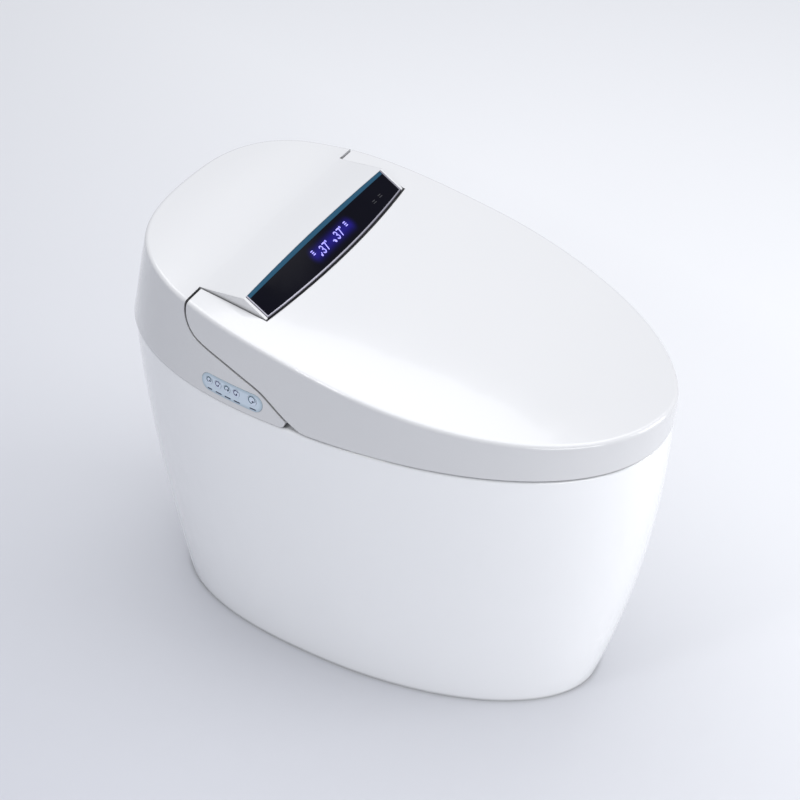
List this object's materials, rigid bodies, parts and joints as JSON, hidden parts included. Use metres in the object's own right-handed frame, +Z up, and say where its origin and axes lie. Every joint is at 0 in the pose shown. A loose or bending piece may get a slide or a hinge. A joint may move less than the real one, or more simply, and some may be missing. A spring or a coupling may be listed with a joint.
{
  "type": "smart toilet",
  "caption": "Floor-standing smart toilet: egg-shaped glazed pan, hinged lid over a heated seat, rear cover with sloping display, side control panel, sliding wash wands.",
  "frame": {"origin": "on the floor, at the middle of the outline", "axes": "+Z up, the nose of the bowl along -Y, the control panel on the -X side"},
  "size_m": [0.3986, 0.6739, 0.5241],
  "materials": {
    "glazed_ceramic": "white glaze, glossy",
    "cover_plastic": "white moulded, high gloss",
    "seat_plastic": "white moulded, gloss",
    "black_glass": "black acrylic display window, polished",
    "bright_trim": "bright plated frame",
    "blue_strip": "teal blue strip",
    "circuit_board": "green board",
    "panel_film": "pale blue film",
    "button_plastic": "pale blue cap",
    "inner_plastic": "natural white, moulded",
    "dark_plastic": "black, moulded",
    "steel": "stainless",
    "rubber": "soft grey",
    "heating_foil": "foil",
    "wand_plastic": "white",
    "motor_can": "plated can",
    "brass": "plain"
  },
  "bodies": {
    "base": {"button_board": "circuit_board", "button_board_holder": "inner_plastic", "ceramic_pan": "glazed_ceramic", "chassis_bolts": "steel", "chassis_plate": "inner_plastic", "chassis_wing_nuts": "inner_plastic", "control_board": "circuit_board", "control_panel": "panel_film", "deodoriser": "inner_plastic", "display_bezel": "bright_trim", "display_board": "circuit_board", "display_glass": "black_glass", "display_strip": "blue_strip", "dryer_duct": "inner_plastic", "dryer_fan_housing": "dark_plastic", "dryer_flap_pin": "steel", "floor_brackets": "steel", "flush_valve": "dark_plastic", "hinge_pins": "steel", "hinge_posts": "inner_plastic", "inlet_nipple": "brass", "inlet_valve_block": "inner_plastic", "inlet_valve_coil": "motor_can", "lid_damper": "dark_plastic", "power_cord_gland": "dark_plastic", "power_supply": "dark_plastic", "rear_cover": "cover_plastic", "seat_damper": "dark_plastic", "wand_guide": "inner_plastic", "wand_motors": "motor_can", "wash_pump": "dark_plastic", "waste_connector": "rubber", "water_heater": "inner_plastic"},
    "seat": {"seat_shell": "seat_plastic", "seat_base": "seat_plastic", "seat_heating_foil": "heating_foil", "seat_bumpers": "rubber"},
    "lid": {"lid_shell": "cover_plastic", "lid_bumpers": "rubber"},
    "stop_button": {"stop_button": "button_plastic"},
    "rear_wash_button": {"rear_wash_button": "button_plastic"},
    "front_wash_button": {"front_wash_button": "button_plastic"},
    "dryer_button": {"dryer_button": "button_plastic"},
    "flush_button": {"flush_button": "button_plastic"},
    "rear_wash_wand": {"rear_wash_wand": "wand_plastic"},
    "front_wash_wand": {"front_wash_wand": "wand_plastic"},
    "dryer_flap": {"dryer_flap": "inner_plastic"},
    "dryer_fan": {"dryer_fan": "dark_plastic"}
  },
  "joints": [
    {"name": "seat_hinge", "type": "hinge", "parent": "base", "child": "seat", "pos_m": [0, 0.149, 0.499], "axis": [1, 0, 0], "range_deg": [-95, 0]},
    {"name": "lid_hinge", "type": "hinge", "parent": "seat", "child": "lid", "pos_m": [0, 0.149, 0.499], "axis": [-1, 0, 0], "range_deg": [0, 95]},
    {"name": "stop_button_press", "type": "slide", "parent": "base", "child": "stop_button", "axis": [1, 0, 0], "range_m": [0, 0.0008], "stiffness_N_per_m": 1500},
    {"name": "rear_wash_button_press", "type": "slide", "parent": "base", "child": "rear_wash_button", "axis": [1, 0, 0], "range_m": [0, 0.0008], "stiffness_N_per_m": 1500},
    {"name": "front_wash_button_press", "type": "slide", "parent": "base", "child": "front_wash_button", "axis": [1, 0, 0], "range_m": [0, 0.0008], "stiffness_N_per_m": 1500},
    {"name": "dryer_button_press", "type": "slide", "parent": "base", "child": "dryer_button", "axis": [1, 0, 0], "range_m": [0, 0.0008], "stiffness_N_per_m": 1500},
    {"name": "flush_button_press", "type": "slide", "parent": "base", "child": "flush_button", "axis": [1, 0, 0], "range_m": [0, 0.0008], "stiffness_N_per_m": 1500},
    {"name": "rear_wash_slide", "type": "slide", "parent": "base", "child": "rear_wash_wand", "axis": [0, -0.9511, -0.309], "range_m": [0, 0.07]},
    {"name": "front_wash_slide", "type": "slide", "parent": "base", "child": "front_wash_wand", "axis": [0, -0.9511, -0.309], "range_m": [0, 0.082]},
    {"name": "dryer_flap_hinge", "type": "hinge", "parent": "base", "child": "dryer_flap", "pos_m": [0.066, 0.0885, 0.411], "axis": [-1, 0, 0], "range_deg": [0, 70]},
    {"name": "fan_spin", "type": "hinge", "parent": "base", "child": "dryer_fan", "pos_m": [0.066, 0.234, 0.425], "axis": [0, 0, 1], "continuous": true}
  ]
}
